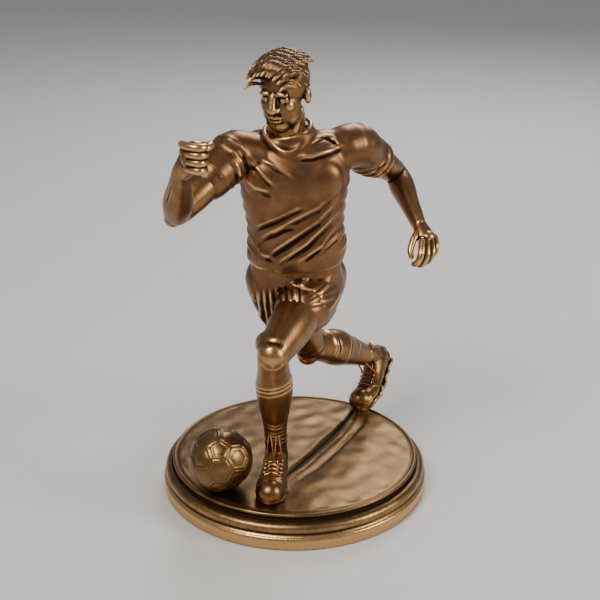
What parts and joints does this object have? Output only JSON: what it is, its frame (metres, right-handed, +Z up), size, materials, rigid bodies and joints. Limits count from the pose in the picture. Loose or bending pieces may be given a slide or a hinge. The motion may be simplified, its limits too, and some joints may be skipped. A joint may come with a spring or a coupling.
{
  "type": "figure trophy",
  "caption": "Cast bronze trophy of a running footballer beside a ball on a round moulded plinth, for award display.",
  "frame": {"origin": "middle of the felt's underside, which rests on the shelf", "axes": "+Z up through the plinth and figure, the player runs towards -Y, and +X is the player's left"},
  "size_m": [0.1628, 0.1879, 0.2667],
  "materials": {
    "plinth_bronze": "antique patina",
    "ball_bronze": "antique patina",
    "boot_bronze": "antique patina",
    "cloth_bronze": "antique patina",
    "skin_bronze": "antique patina",
    "head_bronze": "antique patina",
    "steel": "turned",
    "felt": "pressed felt"
  },
  "bodies": {
    "root": {"plinth": "plinth_bronze", "felt_pad": "felt", "ball": "ball_bronze", "left_boot": "boot_bronze", "right_boot": "boot_bronze", "left_leg": "skin_bronze", "right_leg": "skin_bronze", "shorts": "cloth_bronze", "torso": "cloth_bronze", "head": "head_bronze", "left_arm": "skin_bronze", "right_arm": "skin_bronze", "ball_stud": "steel", "left_boot_stud": "steel", "right_boot_stud": "steel", "stud_washers": "steel", "stud_nuts": "steel"}
  },
  "joints": []
}
